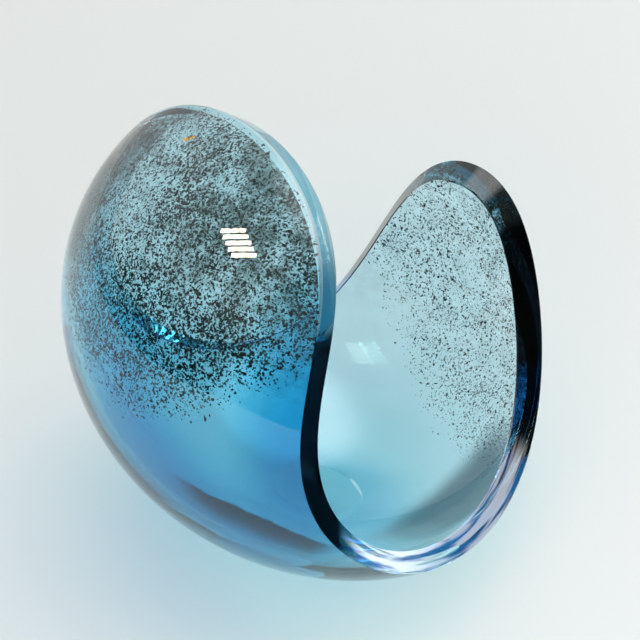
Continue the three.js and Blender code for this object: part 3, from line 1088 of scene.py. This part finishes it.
def soft_lamp(name, place, along, across, radiance, colour=(1, 1, 1)):
    """A rectangular lamp whose two sides are given as vectors; it shines along their cross product."""
    along = Vector(along)
    across = Vector(across)
    lamp = bpy.data.lights.new(name, "AREA")
    lamp.shape = "RECTANGLE"
    lamp.size = along.length
    lamp.size_y = across.length
    lamp.energy = radiance * along.length * across.length * math.pi
    lamp.color = colour
    side = along.normalized()
    shines = side.cross(across).normalized()
    holder = bpy.data.objects.new(name, lamp)
    turned = Matrix((side, shines.cross(side) * -1, shines * -1)).transposed()
    if turned.determinant() < 0:
        turned.col[1] = -turned.col[1]
    holder.rotation_euler = turned.to_euler()
    holder.location = place
    bpy.context.scene.collection.objects.link(holder)
    return holder


def room_light():
    """Broad even light on the table from above and from all four sides, which the glass doesn't
    mirror. Without multiple importance sampling all of it falls through the tinted shadow."""
    for name, place, along, across, radiance in ROOM_LAMPS:
        lamp = soft_lamp(name, place, along, across, radiance)
        lamp.data.cycles.use_multiple_importance_sampling = False
        lamp.visible_glossy = False
        lamp.visible_transmission = False
        lamp.visible_camera = False


def striped_lamp():
    """A small slatted lamp on the left, there for the striped glints in the glass alone."""
    middle = Vector(STRIP_MIDDLE)
    toward = (Vector(STRIP_AIM) - middle).normalized()
    along = Vector(STRIP_ALONG)
    along = (along - toward * along.dot(toward)).normalized()
    across = toward.cross(along)
    length, width = STRIP_SIZE
    for count in range(STRIPS):
        step = (count - STRIPS // 2) * STRIP_PITCH
        place = middle + across * step + along * step * STRIP_SLANT
        sides = (along * length, across * width)
        strip = soft_lamp("strip_%d" % count, place, *sides, STRIP_LIGHT, STRIP_COLOUR)
        strip.visible_diffuse = False
        strip.visible_camera = False


def photo_camera():
    view = bpy.data.cameras.new("photo_camera")
    view.sensor_fit = "HORIZONTAL"
    view.sensor_width = SENSOR_WIDTH
    view.lens = FOCAL_PIXELS * view.sensor_width / PHOTO_WIDTH
    view.shift_x = -(CENTRE_PIXEL[0] - PHOTO_WIDTH / 2) / PHOTO_WIDTH
    view.shift_y = (CENTRE_PIXEL[1] - PHOTO_WIDTH / 2) / PHOTO_WIDTH
    view.clip_start, view.clip_end = CAMERA_SEES
    holder = bpy.data.objects.new("photo_camera", view)
    back = CAMERA_DISTANCE * math.cos(CAMERA_PITCH)
    up = CAMERA_DISTANCE * math.sin(CAMERA_PITCH)
    holder.location = Vector(((BALL_CENTRE + np.array([0, -back, up])) * MM).tolist())
    holder.rotation_euler = (math.pi / 2 - CAMERA_PITCH, 0, 0)
    bpy.context.scene.collection.objects.link(holder)
    bpy.context.scene.camera = holder


def render_limits():
    """Room for light to cross the nested layers of glass many times."""
    scene = bpy.context.scene
    scene.view_settings.view_transform = "Standard"
    scene.cycles.max_bounces = GLASS_BOUNCES
    scene.cycles.transmission_bounces = GLASS_BOUNCES
    scene.cycles.glossy_bounces = MIRROR_BOUNCES
    scene.cycles.transparent_max_bounces = CLEAR_BOUNCES
    scene.cycles.caustics_refractive = False
    scene.cycles.caustics_reflective = False
    scene.cycles.sample_clamp_indirect = BRIGHTEST_BOUNCE
    scene.cycles.use_denoising = True


render_limits()
photo_camera()
soft_room()
table_top()
pale_backdrop()
room_light()
striped_lamp()

body = clear_body()
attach(body, "root")
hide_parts("aqua_glass_wall")

blue = blue_layer()
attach(blue, "root")
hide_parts("blue_glass_casing")
blue.visible_shadow = False

scatter = flake_scatter()
left_specks = speck_sheet("left_lobe_speck_sheet", *LEFT_SHEET_TURNS)
left_specks.data.materials.append(crushed_glass_sheet("left_crushed_glass", scatter, LEFT_FLAKES))
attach(left_specks, "root")
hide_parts("left_lobe_specks")
left_specks.visible_shadow = False

right_specks = speck_sheet("right_lobe_speck_sheet", *RIGHT_SHEET_TURNS)
right_specks.data.materials.append(crushed_glass_sheet("right_crushed_glass", scatter, RIGHT_FLAKES))
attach(right_specks, "root")
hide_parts("right_lobe_specks")
right_specks.visible_shadow = False

black_glass = chip_glass("black_glass", BLACK_CHIP_COLOUR)
rust_glass = chip_glass("rust_glass", RUST_CHIP_COLOUR)
for lobe, side, seed, tries in CHIP_LOBES:
    black, brown = chips(lobe, side, seed, tries)
    black.data.materials.append(black_glass)
    brown.data.materials.append(rust_glass)
    for piece in (black, brown):
        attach(piece, "root")
        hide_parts(lobe + "_specks")
        piece.visible_shadow = False

amber = amber_chip()
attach(amber, "root")
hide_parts("left_lobe_specks")
